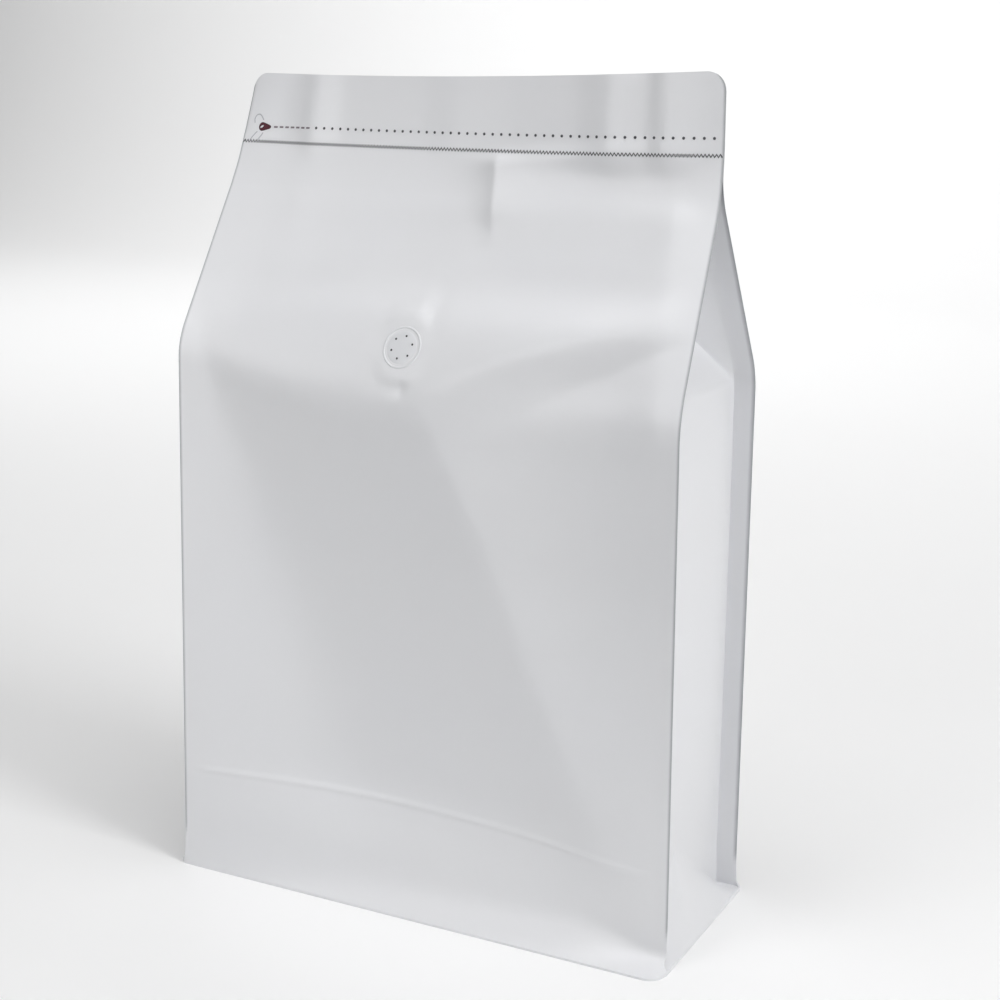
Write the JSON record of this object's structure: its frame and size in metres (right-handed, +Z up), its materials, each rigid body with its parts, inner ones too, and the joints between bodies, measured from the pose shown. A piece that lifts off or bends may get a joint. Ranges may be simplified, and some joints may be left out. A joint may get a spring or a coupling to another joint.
{
  "type": "flat-bottom foil bag",
  "caption": "Tall sealed flat-bottom pouch of matt white film with side gussets, edge fins, a flared base seam, a flat header and a small round degassing valve.",
  "frame": {"origin": "on the floor at the middle of the bag's flat base", "axes": "+Z up, -Y out of the front panel with the valve, +X to the right as the front is seen"},
  "size_m": [0.2436, 0.1, 0.3647],
  "materials": {
    "film": "matt white laminated foil film with a soft satin sheen",
    "valve": "round one-way valve pressed against the film",
    "zigzag_line": "thin dark zigzag line under the header",
    "perforation": "row of small round dots across the header",
    "tab_print": "dark maroon drop-shaped mark on the tear tab"
  },
  "bodies": {
    "root": {"bag": "film", "valve": "valve"}
  },
  "joints": []
}
